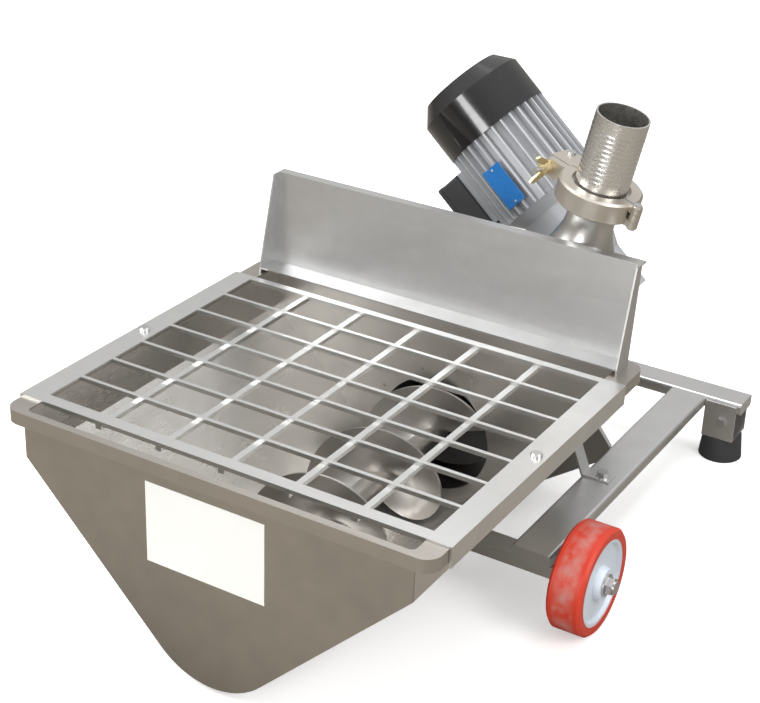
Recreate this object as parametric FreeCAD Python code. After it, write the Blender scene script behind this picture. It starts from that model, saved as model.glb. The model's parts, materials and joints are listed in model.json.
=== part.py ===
import FreeCAD, Part
import math
import os

# Wine and must pump with a feed hopper. Millimetres, +Z up.
# The drawing's zero is on the floor, under the auger axis, at the front edge of the grate's
# opening. +X is the side of the outlet, +Y runs to the rear, towards the gearbox and motor.
# Each piece is saved with the origin moved to the middle of the machine's length.

Vector = FreeCAD.Vector
ORIGIN = Vector(0, 0, 0)
X_AXIS = Vector(1, 0, 0)
Y_AXIS = Vector(0, 1, 0)
Z_AXIS = Vector(0, 0, 1)

# Clearances
running_gap = 0.08
seat_gap = 0.05
swing_gap = 0.3
bolt_hole_gap = 0.3
free_gap = 0.4

# Hopper of folded sheet
sheet = 3.0
hopper_half_width = 291.0
hopper_front_y = -48.0
hopper_rear_y = 525.0
trough_radius = 109.0
auger_axis_z = 118.0
grate_top_z = 326.0
rim_side_overhang = 28.0
rim_front_overhang = 8.0
rim_rear_overhang = 9.5
rim_lip_height = 19.0
rim_corner_radius = 22.0
rim_inner_radius = 8.0

# Grate over the hopper
grate_columns = 6
grate_rows = 7
grate_pitch_x = 96.0
grate_pitch_y = 64.0
grate_sheet = 3.0
grate_fold_height = 29.0
grate_front_rail = 19.0
grate_rear_rail = 12.0
grate_bar_height = 6.0
grate_long_bar_width = 9.0
grate_cross_bar_width = 6.0
grate_screw_y = 221.0
grate_screw_inset = 11.0
grate_screw_radius = 4.0
grate_screw_head_radius = 8.0
grate_screw_head_height = 5.0

# Splash panel at the rear of the hopper
panel_sheet = 2.5
panel_half_width = 297.0
panel_front_y = 485.0
panel_foot_y = 520.0
panel_top_y = 534.0
panel_height = 142.0
panel_lift = 5.0
panel_top_width = 13.0
panel_top_flange = 16.0

# Auger and rotor on one shaft
shaft_radius = 17.0
shaft_front_y = -22.0
auger_radius = 90.0
auger_pitch = 152.0
auger_front_y = -5.0
auger_rear_y = 531.0
auger_blade = 4.0
auger_start_angle = 200.0
auger_steps_per_turn = 16
rotor_long_radius = 88.0
rotor_short_radius = 52.0

# Pump casing with its tangential outlet
casing_rear_y = 655.0
casing_wall = 6.0
chamber_radius = 93.0
inlet_radius = 91.5
casing_flange_radius = 113.0
casing_flange_thickness = 10.0
casing_bolt_circle = 106.5
casing_bolt_radius = 3.0
casing_bolt_head_radius = 5.5
casing_bolt_head_height = 5.0
casing_bolt_count = 7
casing_bolt_start = 60.0
casing_bolt_step = 44.0
outlet_tilt = 12.0
outlet_x = 198.5
outlet_z = 530.0
outlet_trunk_length = 392.0
outlet_trunk_radius = 60.0
outlet_trunk_shoulder = 150.0
outlet_neck_radius = 38.0
outlet_neck_drop = 60.0
outlet_neck_top_radius = 41.0

# Outlet coupling
ferrule_radius = 50.0
ferrule_thickness = 8.0
gasket_thickness = 2.0
hose_tail_radius = 38.0
hose_tail_wall = 2.5
hose_tail_length = 122.0
hose_tail_ridge_pitch = 7.0
hose_tail_ridge_height = 0.4
hose_tail_ridge_count = 11
hose_tail_ridge_start = 30.0
clamp_radius = 60.0
clamp_half_height = 16.0
clamp_lip_radius = 42.5
clamp_chamfer = 3.0
clamp_split_gap = 1.5
clamp_closure_angle = 165.0
clamp_lug_inner = 55.0
clamp_lug_thickness = 12.25
clamp_lug_half_height = 13.0
clamp_fork_outer = 97.0
swing_bolt_reach = 86.0
swing_bolt_radius = 4.0
swing_bolt_pivot = 34.0
swing_bolt_end = 42.0
swing_bolt_eye_radius = 8.0
swing_bolt_eye_half_height = 4.7
clamp_slot_half_height = 5.2
clamp_pin_radius = 4.0
clamp_pin_head_radius = 6.0
clamp_pin_head_height = 3.0
clamp_hinge_reach = 67.0
clamp_knuckle_radius = 8.0
clamp_knuckle_half_height = 5.5
wing_nut_hub_radius = 9.0
wing_nut_hub_length = 12.0
wing_nut_span = 21.0
wing_nut_wing_length = 20.0
wing_nut_wing_thickness = 4.0

# Bulkhead that carries casing and gear case on the chassis
bulkhead_thickness = 8.0
bulkhead_shoulder_x = 125.0
bulkhead_top_z = 240.0
bulkhead_bottom_z = 12.0

# Gear case and worm gearbox
gear_case_thickness = 76.0
gear_case_low_radius = 62.0
gear_case_high_radius = 75.0
gear_offset_x = 96.7
gear_offset_z = 153.1
bearing_radius = 31.0
bearing_width = 16.0
gearbox_radius = 66.0
gearbox_depth = 104.0
worm_centre_distance = 75.0
worm_tunnel_radius = 36.0
worm_tunnel_back = 44.0
gearbox_bell_length = 88.0
gearbox_bell_radius = 56.0
gearbox_flange_radius = 80.0
gearbox_flange_thickness = 10.0
gearbox_cover_radius = 54.0
gearbox_cover_thickness = 7.0

# Motor, along its own axis, from the worm
motor_rise = 42.0
motor_shaft_radius = 9.5
motor_shaft_start = 40.0
end_shield_radius = 62.0
end_shield_length = 64.0
motor_flange_thickness = 10.0
motor_flange_bolt_circle = 71.0
motor_flange_bolt_radius = 4.0
stator_radius = 74.0
stator_length = 130.0
fin_radius = 86.0
fin_thickness = 3.0
fin_count = 32
fan_cover_radius = 87.0
fan_cover_wall = 2.5
fan_cover_straight = 66.0
fan_cover_cone = 26.0
fan_cover_end_radius = 66.0
fan_cover_slot_count = 16
fan_cover_slot_width = 5.0
fan_cover_spigot = 8.0
fan_radius = 70.0
fan_hub_radius = 16.0
fan_blade_count = 8
fan_blade_thickness = 3.0
fan_width = 28.0
terminal_box_length = 95.0
terminal_box_width = 92.0
terminal_box_height = 36.0
terminal_box_start = 18.0
terminal_box_lid = 7.0
gland_radius = 11.0
gland_length = 24.0
gland_bore_radius = 4.5

# Chassis
rail_inner_x = 231.0
rail_width = 60.0
rail_height = 20.0
rail_top_z = 108.0
rail_front_y = 332.0
tube_wall = 2.0
tube_corner = 5.0
rear_bar_front_y = 897.0
rear_bar_width = 50.0
rear_bar_half_length = 350.0
cap_thickness = 3.0
strap_width = 25.0
strap_sheet = 3.0
strap_y = 565.0
strap_lean = 58.0
strap_foot_length = 44.0
strap_bolt_radius = 5.0
strap_bolt_head_radius = 9.0
strap_bolt_head_height = 6.5

# Wheels
wheel_radius = 78.0
wheel_width = 50.0
wheel_outer_x = 361.0
wheel_y = 358.0
tyre_thickness = 15.0
tyre_edge = 4.0
wheel_hub_radius = 22.0
wheel_hub_proud = 4.0
wheel_web_recess = 5.0
axle_radius = 10.0
axle_collar_radius = 15.0
axle_washer_radius = 16.0
axle_washer_thickness = 2.5
axle_nut_radius = 13.0
axle_nut_height = 9.0
cross_bar_height = 20.0
cross_bar_width = 36.0
cross_bar_outer_x = 296.0

# Rear feet
foot_x = 318.0
foot_radius = 35.0
foot_top_radius = 31.0
foot_height = 40.0
foot_plate_thickness = 4.0
foot_plate_half = 26.0
foot_bracket_thickness = 4.0
foot_bolt_z = 71.0
foot_bolt_radius = 5.0
foot_bolt_head_radius = 8.5
foot_bolt_head_height = 6.0

# Places worked out from the sizes above
rim_top_z = grate_top_z - grate_sheet
wall_top_z = rim_top_z - sheet
rim_half_width = hopper_half_width + rim_side_overhang
rim_front_y = hopper_front_y - rim_front_overhang
rim_rear_y = hopper_rear_y + rim_rear_overhang
grate_half_opening = grate_columns * grate_pitch_x / 2
grate_opening_length = grate_rows * grate_pitch_y
grate_rear_y = grate_opening_length + grate_rear_rail
strip_half_width = rim_half_width + free_gap + grate_sheet
bulkhead_rear_y = casing_rear_y + bulkhead_thickness
gear_case_rear_y = bulkhead_rear_y + gear_case_thickness
gearbox_rear_y = gear_case_rear_y + gearbox_depth
gear_x = gear_offset_x
gear_z = auger_axis_z + gear_offset_z
motor_angle = motor_rise - 90.0
worm_y = gear_case_rear_y + gearbox_depth / 2
worm_x = gear_x + worm_centre_distance * math.sin(math.radians(motor_rise))
worm_z = gear_z + worm_centre_distance * math.cos(math.radians(motor_rise))
stator_start = gearbox_bell_length + end_shield_length
stator_end = stator_start + stator_length
fan_cover_end = stator_end + fan_cover_straight + fan_cover_cone
rail_bottom_z = rail_top_z - rail_height
wheel_inner_x = wheel_outer_x - wheel_width
wheel_middle_x = wheel_outer_x - wheel_width / 2
hub_half_width = wheel_width / 2 + wheel_hub_proud
clamp_bolt_seat = clamp_split_gap / 2 + clamp_lug_thickness
outlet_y = (hopper_rear_y + casing_flange_thickness + casing_rear_y) / 2
rear_bar_middle_y = rear_bar_front_y + rear_bar_width / 2
machine_rear_y = rear_bar_middle_y + foot_radius


def save(name, shape):
    placed = shape.copy()
    placed.translate(Vector(0, -(rim_front_y + machine_rear_y) / 2, 0))
    placed.exportStep(os.path.join("parts", name + ".step"))


def box(x0, x1, y0, y1, z0, z1):
    return Part.makeBox(x1 - x0, y1 - y0, z1 - z0, Vector(x0, y0, z0))


def rod(radius, start, end):
    run = end - start
    return Part.makeCylinder(radius, run.Length, start, run)


def face_of(points):
    return Part.Face(Part.makePolygon(points + [points[0]]))


def turned(profile):
    """Solid of revolution about Z from (radius, height) pairs."""
    corners = [Vector(radius, 0, height) for radius, height in profile]
    return face_of(corners).revolve(ORIGIN, Z_AXIS, 360)


def fuse(shapes):
    body = shapes[0]
    for other in shapes[1:]:
        body = body.fuse(other)
    return body.removeSplitter()


def hexagon(radius, height):
    corners = [
        Vector(radius * math.cos(math.radians(60 * k)), radius * math.sin(math.radians(60 * k)), 0)
        for k in range(6)
    ]
    return face_of(corners).extrude(Vector(0, 0, height))


def facing(shape, direction, place):
    """Turns a shape built along +Z to a direction, and moves it to its place."""
    made = shape.copy()
    made.Placement = FreeCAD.Placement(place, FreeCAD.Rotation(Z_AXIS, direction))
    return made


def mirrored(shape):
    return shape.mirror(ORIGIN, X_AXIS)


def both_sides(shape):
    return Part.makeCompound([shape, mirrored(shape)])


def on_outlet(shape):
    """From the outlet's own frame, whose Z runs up the pipe from the clamp's middle."""
    made = shape.copy()
    made.rotate(ORIGIN, Y_AXIS, outlet_tilt)
    made.translate(Vector(outlet_x, outlet_y, outlet_z))
    return made


def on_motor(shape):
    """From the motor's own frame, whose Z runs up the motor's axis from the worm."""
    made = shape.copy()
    made.rotate(ORIGIN, Y_AXIS, motor_angle)
    made.translate(Vector(worm_x, worm_y, worm_z))
    return made


def trough_face(inset, top_z, y):
    """Cross section of the hopper: upright walls, 45 degree walls and a round bottom."""
    half_width = hopper_half_width - inset
    radius = trough_radius - inset
    low_x = radius * math.sqrt(0.5)
    low_z = auger_axis_z - low_x
    knee_z = low_z + half_width - low_x
    corners = [
        Vector(low_x, y, low_z),
        Vector(half_width, y, knee_z),
        Vector(half_width, y, top_z),
        Vector(-half_width, y, top_z),
        Vector(-half_width, y, knee_z),
        Vector(-low_x, y, low_z),
    ]
    edges = [Part.LineSegment(a, b).toShape() for a, b in zip(corners, corners[1:])]
    bottom = Vector(0, y, auger_axis_z - radius)
    edges.append(Part.Arc(corners[-1], bottom, corners[0]).toShape())
    return Part.Face(Part.Wire(edges))


def trough_block(inset, top_z, front_y, rear_y):
    return trough_face(inset, top_z, front_y).extrude(Vector(0, rear_y - front_y, 0))


def hopper_trough():
    front_y = hopper_front_y + sheet
    rear_y = hopper_rear_y - sheet
    outside = trough_block(0, wall_top_z, front_y, rear_y)
    return outside.cut(trough_block(sheet, wall_top_z + sheet, front_y - sheet, rear_y + sheet))


def hopper_front_plate():
    return trough_block(0, wall_top_z, hopper_front_y, hopper_front_y + sheet)


def casing_bolt_places(y):
    places = []
    for k in range(casing_bolt_count):
        angle = math.radians(casing_bolt_start + k * casing_bolt_step)
        x = casing_bolt_circle * math.cos(angle)
        z = auger_axis_z + casing_bolt_circle * math.sin(angle)
        places.append(Vector(x, y, z))
    return places


def hopper_rear_plate():
    plate = trough_block(0, wall_top_z, hopper_rear_y - sheet, hopper_rear_y)
    start = Vector(0, hopper_rear_y - 2 * sheet, auger_axis_z)
    plate = plate.cut(rod(inlet_radius, start, start + Vector(0, 3 * sheet, 0)))
    for place in casing_bolt_places(hopper_rear_y - 2 * sheet):
        hole = rod(casing_bolt_radius + bolt_hole_gap, place, place + Vector(0, 3 * sheet, 0))
        plate = plate.cut(hole)
    return plate


def rounded_block(half_width, front_y, rear_y, z0, z1, radius):
    block = box(-half_width, half_width, front_y, rear_y, z0, z1)
    uprights = [
        edge for edge in block.Edges
        if abs(edge.Vertexes[0].X - edge.Vertexes[1].X) < 0.001
        and abs(edge.Vertexes[0].Y - edge.Vertexes[1].Y) < 0.001
    ]
    return block.makeFillet(radius, uprights)


def grate_screw_places():
    x = rim_half_width - grate_screw_inset
    return [Vector(side * x, grate_screw_y, 0) for side in (-1, 1)]


def hopper_rim():
    low_z = rim_top_z - rim_lip_height
    outside = rounded_block(
        rim_half_width, rim_front_y, rim_rear_y, low_z, rim_top_z, rim_corner_radius)
    under = rounded_block(
        rim_half_width - sheet, rim_front_y + sheet, rim_rear_y - sheet,
        low_z, wall_top_z, rim_corner_radius - sheet)
    mouth = rounded_block(
        hopper_half_width - sheet, hopper_front_y + sheet, hopper_rear_y - sheet,
        low_z, rim_top_z, rim_inner_radius)
    rim = outside.cut(under).cut(mouth)
    for place in grate_screw_places():
        hole = rod(grate_screw_radius + bolt_hole_gap,
                   place + Vector(0, 0, low_z), place + Vector(0, 0, grate_top_z))
        rim = rim.cut(hole)
    return rim


def grate_frame():
    low_z = grate_top_z - grate_fold_height
    strips = []
    for side in (-1, 1):
        inner, outer = sorted((side * grate_half_opening, side * strip_half_width))
        strips.append(box(inner, outer, -grate_front_rail, grate_rear_y, rim_top_z, grate_top_z))
        fold = sorted((side * (strip_half_width - grate_sheet), side * strip_half_width))
        strips.append(box(fold[0], fold[1], -grate_front_rail, grate_rear_y, low_z, grate_top_z))
    rail_z = grate_top_z - grate_bar_height
    front = box(-grate_half_opening + grate_sheet, grate_half_opening - grate_sheet,
                -grate_front_rail, 0, rail_z, grate_top_z)
    rear = box(-grate_half_opening + grate_sheet, grate_half_opening - grate_sheet,
               grate_opening_length, grate_rear_y, rail_z, grate_top_z)
    ties = []
    for y0, y1 in ((-grate_front_rail, 0), (grate_opening_length, grate_rear_y)):
        ties.append(box(-grate_half_opening, grate_half_opening, y0, y1, rim_top_z, grate_top_z))
    frame = fuse(strips + [front, rear] + ties)
    for place in grate_screw_places():
        hole = rod(grate_screw_radius + bolt_hole_gap,
                   place + Vector(0, 0, low_z), place + Vector(0, 0, grate_top_z + sheet))
        frame = frame.cut(hole)
    return frame


def grate_long_bars():
    top_z = grate_top_z - grate_bar_height
    bars = []
    for column in range(1, grate_columns):
        x = column * grate_pitch_x - grate_half_opening
        bars.append(box(x - grate_long_bar_width / 2, x + grate_long_bar_width / 2,
                        -grate_front_rail, grate_rear_y, top_z - grate_bar_height, top_z))
    return Part.makeCompound(bars)


def grate_cross_bars():
    bars = []
    for row in range(1, grate_rows):
        y = row * grate_pitch_y
        bars.append(box(-grate_half_opening, grate_half_opening,
                        y - grate_cross_bar_width / 2, y + grate_cross_bar_width / 2,
                        grate_top_z - grate_bar_height, grate_top_z))
    return Part.makeCompound(bars)


def grate_screws():
    screws = []
    for place in grate_screw_places():
        shank = rod(grate_screw_radius, place + Vector(0, 0, rim_top_z - 4 * sheet),
                    place + Vector(0, 0, grate_top_z))
        head = Part.makeCylinder(grate_screw_head_radius, grate_screw_head_height,
                                 place + Vector(0, 0, grate_top_z))
        head = head.makeChamfer(grate_screw_head_height / 3, [head.Edges[0]])
        nut = hexagon(grate_screw_head_radius - 1, 2 * sheet)
        nut.translate(place + Vector(0, 0, wall_top_z - 2 * sheet))
        screws.append(fuse([shank, head, nut]))
    return Part.makeCompound(screws)


def splash_panel():
    foot_z = rim_top_z + panel_lift
    top_z = foot_z + panel_height
    lean = (panel_top_y - panel_foot_y) / panel_height
    back_y = panel_top_y + panel_top_flange
    profile = [
        Vector(0, panel_front_y, foot_z),
        Vector(0, panel_foot_y + panel_sheet, foot_z),
        Vector(0, panel_top_y + panel_sheet - lean * panel_sheet, top_z - panel_sheet),
        Vector(0, back_y, top_z - panel_sheet),
        Vector(0, back_y, top_z),
        Vector(0, panel_top_y, top_z),
        Vector(0, panel_foot_y, foot_z + panel_sheet),
        Vector(0, panel_front_y, foot_z + panel_sheet),
    ]
    sheet_body = face_of(profile).extrude(Vector(2 * panel_half_width, 0, 0))
    sheet_body.translate(Vector(-panel_half_width, 0, 0))
    gusset = face_of([
        Vector(0, panel_front_y, rim_top_z),
        Vector(0, panel_foot_y + panel_sheet, rim_top_z),
        Vector(0, panel_foot_y + panel_sheet, foot_z),
        Vector(0, panel_top_y + panel_sheet, top_z),
        Vector(0, panel_top_y - panel_top_width, top_z),
        Vector(0, panel_front_y, foot_z + panel_sheet),
    ]).extrude(Vector(panel_sheet, 0, 0))
    right = gusset.copy()
    right.translate(Vector(panel_half_width - panel_sheet, 0, 0))
    left = gusset.copy()
    left.translate(Vector(-panel_half_width, 0, 0))
    return fuse([sheet_body, right, left])


def helix_edge(radius, lag):
    """Edge on the auger's helix, at one radius, set back along the axis by a lag."""
    turns = (auger_rear_y - auger_front_y - auger_blade) / auger_pitch
    steps = int(math.ceil(turns * auger_steps_per_turn))
    points = []
    for k in range(steps + 1):
        turn = turns * k / steps
        angle = math.radians(auger_start_angle - 360 * turn)
        y = auger_front_y + auger_pitch * turn + lag
        points.append(Vector(radius * math.cos(angle), y, auger_axis_z + radius * math.sin(angle)))
    curve = Part.BSplineCurve()
    curve.interpolate(points)
    return curve.toShape()


def auger_flight():
    """Helical blade between four helices: inner and outer, front and rear."""
    root_radius = shaft_radius - 2
    inner_front = helix_edge(root_radius, 0)
    inner_rear = helix_edge(root_radius, auger_blade)
    outer_front = helix_edge(auger_radius, 0)
    outer_rear = helix_edge(auger_radius, auger_blade)
    faces = [
        Part.makeRuledSurface(inner_front, outer_front),
        Part.makeRuledSurface(inner_rear, outer_rear),
        Part.makeRuledSurface(outer_front, outer_rear),
        Part.makeRuledSurface(inner_front, inner_rear),
    ]
    for end in (0, -1):
        corners = [edge.Vertexes[end].Point
                   for edge in (inner_front, outer_front, outer_rear, inner_rear)]
        faces.append(face_of(corners))
    shell = Part.makeShell(faces)
    shell.sewShape()
    blade = Part.makeSolid(shell)
    if blade.Volume < 0:
        blade.reverse()
    return blade


def auger():
    shaft = rod(shaft_radius, Vector(0, shaft_front_y, auger_axis_z),
                Vector(0, gear_case_rear_y - casing_flange_thickness, auger_axis_z))
    nose = shaft.makeChamfer(shaft_radius / 4, [shaft.Edges[2]])
    return nose.fuse(auger_flight())


def pump_rotor():
    """Elliptical rotor that sweeps the chamber, on the auger's shaft."""
    front_y = auger_rear_y + 4
    ellipse = Part.Ellipse(ORIGIN, rotor_long_radius, rotor_short_radius).toShape()
    length = casing_rear_y - free_gap * 5 - front_y
    block = Part.Face(Part.Wire([ellipse])).extrude(Vector(0, 0, length))
    bored = block.cut(Part.makeCylinder(shaft_radius + seat_gap, length))
    return facing(bored, Y_AXIS, Vector(0, front_y, auger_axis_z))


def outlet_profile(inset, bottom, top):
    """Half section of the outlet trunk, which swells smoothly from neck to trunk."""
    neck = outlet_neck_radius - inset
    trunk = outlet_trunk_radius - inset
    curve = Part.BSplineCurve()
    curve.interpolate([
        Vector(outlet_neck_top_radius - inset, 0, -clamp_half_height),
        Vector(neck, 0, -outlet_neck_drop),
        Vector((neck + trunk) / 2 + 1, 0, -outlet_neck_drop - 30),
        Vector(trunk - 1, 0, -outlet_trunk_shoulder + 25),
        Vector(trunk, 0, -outlet_trunk_shoulder),
    ])
    lines = [
        Vector(trunk, 0, -outlet_trunk_shoulder),
        Vector(trunk, 0, bottom),
        Vector(0, 0, bottom),
        Vector(0, 0, top),
        Vector(outlet_neck_top_radius - inset, 0, top),
        Vector(outlet_neck_top_radius - inset, 0, -clamp_half_height),
    ]
    edges = [curve.toShape()]
    edges += [Part.LineSegment(a, b).toShape() for a, b in zip(lines, lines[1:])]
    return Part.Face(Part.Wire(edges)).revolve(ORIGIN, Z_AXIS, 360)


def outlet_duct():
    """Everything the must flows through between the chamber and the outlet's ferrule."""
    duct = outlet_profile(casing_wall, -outlet_trunk_length, 0)
    end = Part.makeSphere(outlet_trunk_radius - casing_wall, Vector(0, 0, -outlet_trunk_length))
    return [on_outlet(duct), on_outlet(end)]


def drum_outside():
    front = Vector(0, hopper_rear_y, auger_axis_z)
    rear = Vector(0, casing_rear_y, auger_axis_z)
    collar = Vector(0, casing_flange_thickness, 0)
    return fuse([
        rod(chamber_radius + casing_wall, front, rear),
        rod(casing_flange_radius, front, front + collar),
        rod(casing_flange_radius, rear - collar, rear),
    ])


def pump_casing():
    """Drum of the pump with a flange at each end, open at its side into the outlet."""
    front = Vector(0, hopper_rear_y, auger_axis_z)
    rear = Vector(0, casing_rear_y, auger_axis_z)
    collar = Vector(0, casing_flange_thickness, 0)
    casing = drum_outside()
    for duct in outlet_duct():
        casing = casing.cut(duct)
    casing = casing.cut(rod(inlet_radius, front - collar, front + collar))
    casing = casing.cut(rod(chamber_radius, front + collar, rear + collar))
    bolt_run = Vector(0, 3 * casing_flange_thickness, 0)
    for y in (hopper_rear_y - casing_flange_thickness, casing_rear_y - 2 * casing_flange_thickness):
        for place in casing_bolt_places(y):
            casing = casing.cut(rod(casing_bolt_radius + bolt_hole_gap, place, place + bolt_run))
    return casing


def outlet_trunk():
    """Outlet pipe welded to the drum's side, with a round lower end and a ferrule on top."""
    top = -gasket_thickness / 2
    pipe = outlet_profile(0, -outlet_trunk_length, top)
    end = Part.makeSphere(outlet_trunk_radius, Vector(0, 0, -outlet_trunk_length))
    ferrule = Part.makeCylinder(ferrule_radius, ferrule_thickness,
                                Vector(0, 0, top - ferrule_thickness))
    trunk = on_outlet(pipe).fuse(on_outlet(end)).fuse(on_outlet(ferrule))
    for duct in outlet_duct():
        trunk = trunk.cut(duct)
    return trunk.cut(drum_outside())


def casing_bolts():
    """Bolts of both flanges: heads inside the flanges, shanks through plate and bulkhead."""
    bolts = []
    sets = [
        (hopper_rear_y + casing_flange_thickness, -1, casing_flange_thickness + sheet),
        (casing_rear_y - casing_flange_thickness, 1, casing_flange_thickness + bulkhead_thickness),
    ]
    for seat_y, way, grip in sets:
        for place in casing_bolt_places(seat_y):
            head = facing(hexagon(casing_bolt_head_radius, casing_bolt_head_height),
                          Vector(0, -way, 0), place)
            shank = rod(casing_bolt_radius, place, place + Vector(0, way * grip, 0))
            bolts.append(head.fuse(shank))
    return Part.makeCompound(bolts)


def bulkhead():
    """Upright plate from rail to rail, with the shaft's hole and the casing's bolt holes."""
    plate = face_of([
        Vector(-rail_inner_x, casing_rear_y, rail_top_z),
        Vector(-rail_inner_x, casing_rear_y, rail_bottom_z),
        Vector(-bulkhead_shoulder_x, casing_rear_y, bulkhead_bottom_z),
        Vector(bulkhead_shoulder_x, casing_rear_y, bulkhead_bottom_z),
        Vector(rail_inner_x, casing_rear_y, rail_bottom_z),
        Vector(rail_inner_x, casing_rear_y, rail_top_z),
        Vector(bulkhead_shoulder_x, casing_rear_y, bulkhead_top_z),
        Vector(-bulkhead_shoulder_x, casing_rear_y, bulkhead_top_z),
    ]).extrude(Vector(0, bulkhead_thickness, 0))
    start = Vector(0, casing_rear_y - sheet, auger_axis_z)
    run = Vector(0, bulkhead_thickness + 2 * sheet, 0)
    plate = plate.cut(rod(bearing_radius, start, start + run))
    for place in casing_bolt_places(casing_rear_y - sheet):
        plate = plate.cut(rod(casing_bolt_radius + bolt_hole_gap, place, place + run))
    return plate


def ring_on_shaft(front_y, width):
    ring = Part.makeCylinder(bearing_radius - seat_gap, width)
    ring = ring.cut(Part.makeCylinder(shaft_radius + running_gap, width))
    return facing(ring, Y_AXIS, Vector(0, front_y, auger_axis_z))


def shaft_seal():
    return ring_on_shaft(casing_rear_y, bulkhead_thickness)


def shaft_bearing():
    return ring_on_shaft(bulkhead_rear_y, bearing_width)


def gear_case():
    """Oval housing of the gear stage between the shaft and the worm gearbox."""
    low = Vector(0, bulkhead_rear_y, auger_axis_z)
    high = Vector(gear_x, bulkhead_rear_y, gear_z)
    run = Vector(0, gear_case_thickness, 0)
    across = high - low
    length = across.Length
    side = Vector(-across.z, 0, across.x).normalize()
    drop = (gear_case_high_radius - gear_case_low_radius) / length
    along = across * (1 / length)
    rise = math.sqrt(1 - drop * drop)
    corners = []
    for sign in (1, -1):
        normal = along * (-drop) + side * (sign * rise)
        pair = [low + normal * gear_case_low_radius, high + normal * gear_case_high_radius]
        corners += pair if sign == 1 else pair[::-1]
    web = face_of(corners).extrude(run)
    case = fuse([rod(gear_case_low_radius, low, low + run),
                 rod(gear_case_high_radius, high, high + run), web])
    case = case.cut(rod(bearing_radius, low, low + Vector(0, bearing_width, 0)))
    shaft_room = Vector(0, gear_case_thickness - casing_flange_thickness + 2, 0)
    return case.cut(rod(shaft_radius + 2 * free_gap, low, low + shaft_room))


def worm_gearbox():
    """Wheel housing along Y, with the worm's tunnel and the motor's bell across it."""
    front = Vector(gear_x, gear_case_rear_y, gear_z)
    wheel_house = rod(gearbox_radius, front, Vector(gear_x, gearbox_rear_y, gear_z))
    tunnel = rod(worm_tunnel_radius, Vector(0, 0, -worm_tunnel_back),
                 Vector(0, 0, gearbox_bell_length - gearbox_flange_thickness))
    bell_start = gearbox_bell_length - end_shield_radius
    bell = Part.makeCone(worm_tunnel_radius, gearbox_bell_radius,
                         gearbox_bell_length - gearbox_flange_thickness - bell_start,
                         Vector(0, 0, bell_start))
    flange = Part.makeCylinder(
        gearbox_flange_radius, gearbox_flange_thickness,
        Vector(0, 0, gearbox_bell_length - gearbox_flange_thickness))
    across = fuse([tunnel, bell, flange])
    bore = Part.makeCylinder(motor_shaft_radius + running_gap,
                             gearbox_bell_length - motor_shaft_start + 2,
                             Vector(0, 0, motor_shaft_start - 2))
    body = wheel_house.fuse(on_motor(across)).cut(on_motor(bore))
    for place in flange_bolt_places(gearbox_bell_length - 2 * gearbox_flange_thickness):
        hole = Part.makeCylinder(motor_flange_bolt_radius + bolt_hole_gap,
                                 3 * gearbox_flange_thickness, place)
        body = body.cut(on_motor(hole))
    return body


def gearbox_cover():
    start = Vector(gear_x, gearbox_rear_y, gear_z)
    run = Vector(0, gearbox_cover_thickness, 0)
    cover = rod(gearbox_cover_radius, start, start + run)
    boss = rod(gearbox_cover_radius / 2, start, start + run * 2)
    plug = facing(hexagon(gearbox_cover_radius / 5, gearbox_cover_thickness), Y_AXIS,
                  start + run * 2)
    return fuse([cover, boss, plug])


def flange_bolt_places(height):
    return [
        Vector(motor_flange_bolt_circle * math.cos(math.radians(45 + 90 * k)),
               motor_flange_bolt_circle * math.sin(math.radians(45 + 90 * k)), height)
        for k in range(4)
    ]


def motor_end_shield():
    height = gearbox_bell_length
    flange = Part.makeCylinder(gearbox_flange_radius, motor_flange_thickness,
                               Vector(0, 0, height))
    barrel = Part.makeCylinder(end_shield_radius, end_shield_length - 2 * motor_flange_thickness,
                               Vector(0, 0, height))
    skirt = Part.makeCone(end_shield_radius, stator_radius + 4, 2 * motor_flange_thickness,
                          Vector(0, 0, stator_start - 2 * motor_flange_thickness))
    shield = fuse([flange, barrel, skirt])
    shield = shield.cut(Part.makeCylinder(motor_shaft_radius + running_gap,
                                          end_shield_length + 2, Vector(0, 0, height - 1)))
    for place in flange_bolt_places(height - 1):
        shield = shield.cut(Part.makeCylinder(motor_flange_bolt_radius + bolt_hole_gap,
                                              motor_flange_thickness + 2, place))
    return on_motor(shield)


def motor_flange_bolts():
    bolts = []
    seat = gearbox_bell_length + motor_flange_thickness
    for place in flange_bolt_places(seat):
        head = hexagon(motor_flange_bolt_radius * 1.7, motor_flange_bolt_radius * 1.3)
        head.translate(place)
        grip = motor_flange_thickness + gearbox_flange_thickness
        shank = Part.makeCylinder(motor_flange_bolt_radius, grip, place - Vector(0, 0, grip))
        bolts.append(on_motor(head.fuse(shank)))
    return Part.makeCompound(bolts)


def stator_housing():
    """Finned barrel of the motor, with a flat pad for the terminal box."""
    barrel = Part.makeCylinder(stator_radius, stator_length + fan_cover_spigot,
                               Vector(0, 0, stator_start))
    fins = []
    for k in range(fin_count):
        fin = box(stator_radius - 1, fin_radius, -fin_thickness / 2, fin_thickness / 2,
                  stator_start, stator_end)
        fin.rotate(ORIGIN, Z_AXIS, (k + 0.5) * 360 / fin_count)
        fins.append(fin)
    pad_start = stator_start + terminal_box_start
    pad_end = pad_start + terminal_box_length
    half = terminal_box_width / 2
    window = box(-fin_radius - 1, -stator_radius / 2, -half, half, pad_start, pad_end)
    pad = box(-fin_radius, -stator_radius / 2, -half + 6, half - 6, pad_start, pad_end)
    ribs = Part.makeCompound(fins).cut(window.cut(Part.makeCylinder(
        stator_radius, stator_end, ORIGIN)))
    housing = fuse([barrel, pad] + ribs.Solids)
    bore = Part.makeCylinder(motor_shaft_radius + running_gap, stator_end + 2 * fan_cover_spigot)
    return on_motor(housing.cut(bore))


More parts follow.
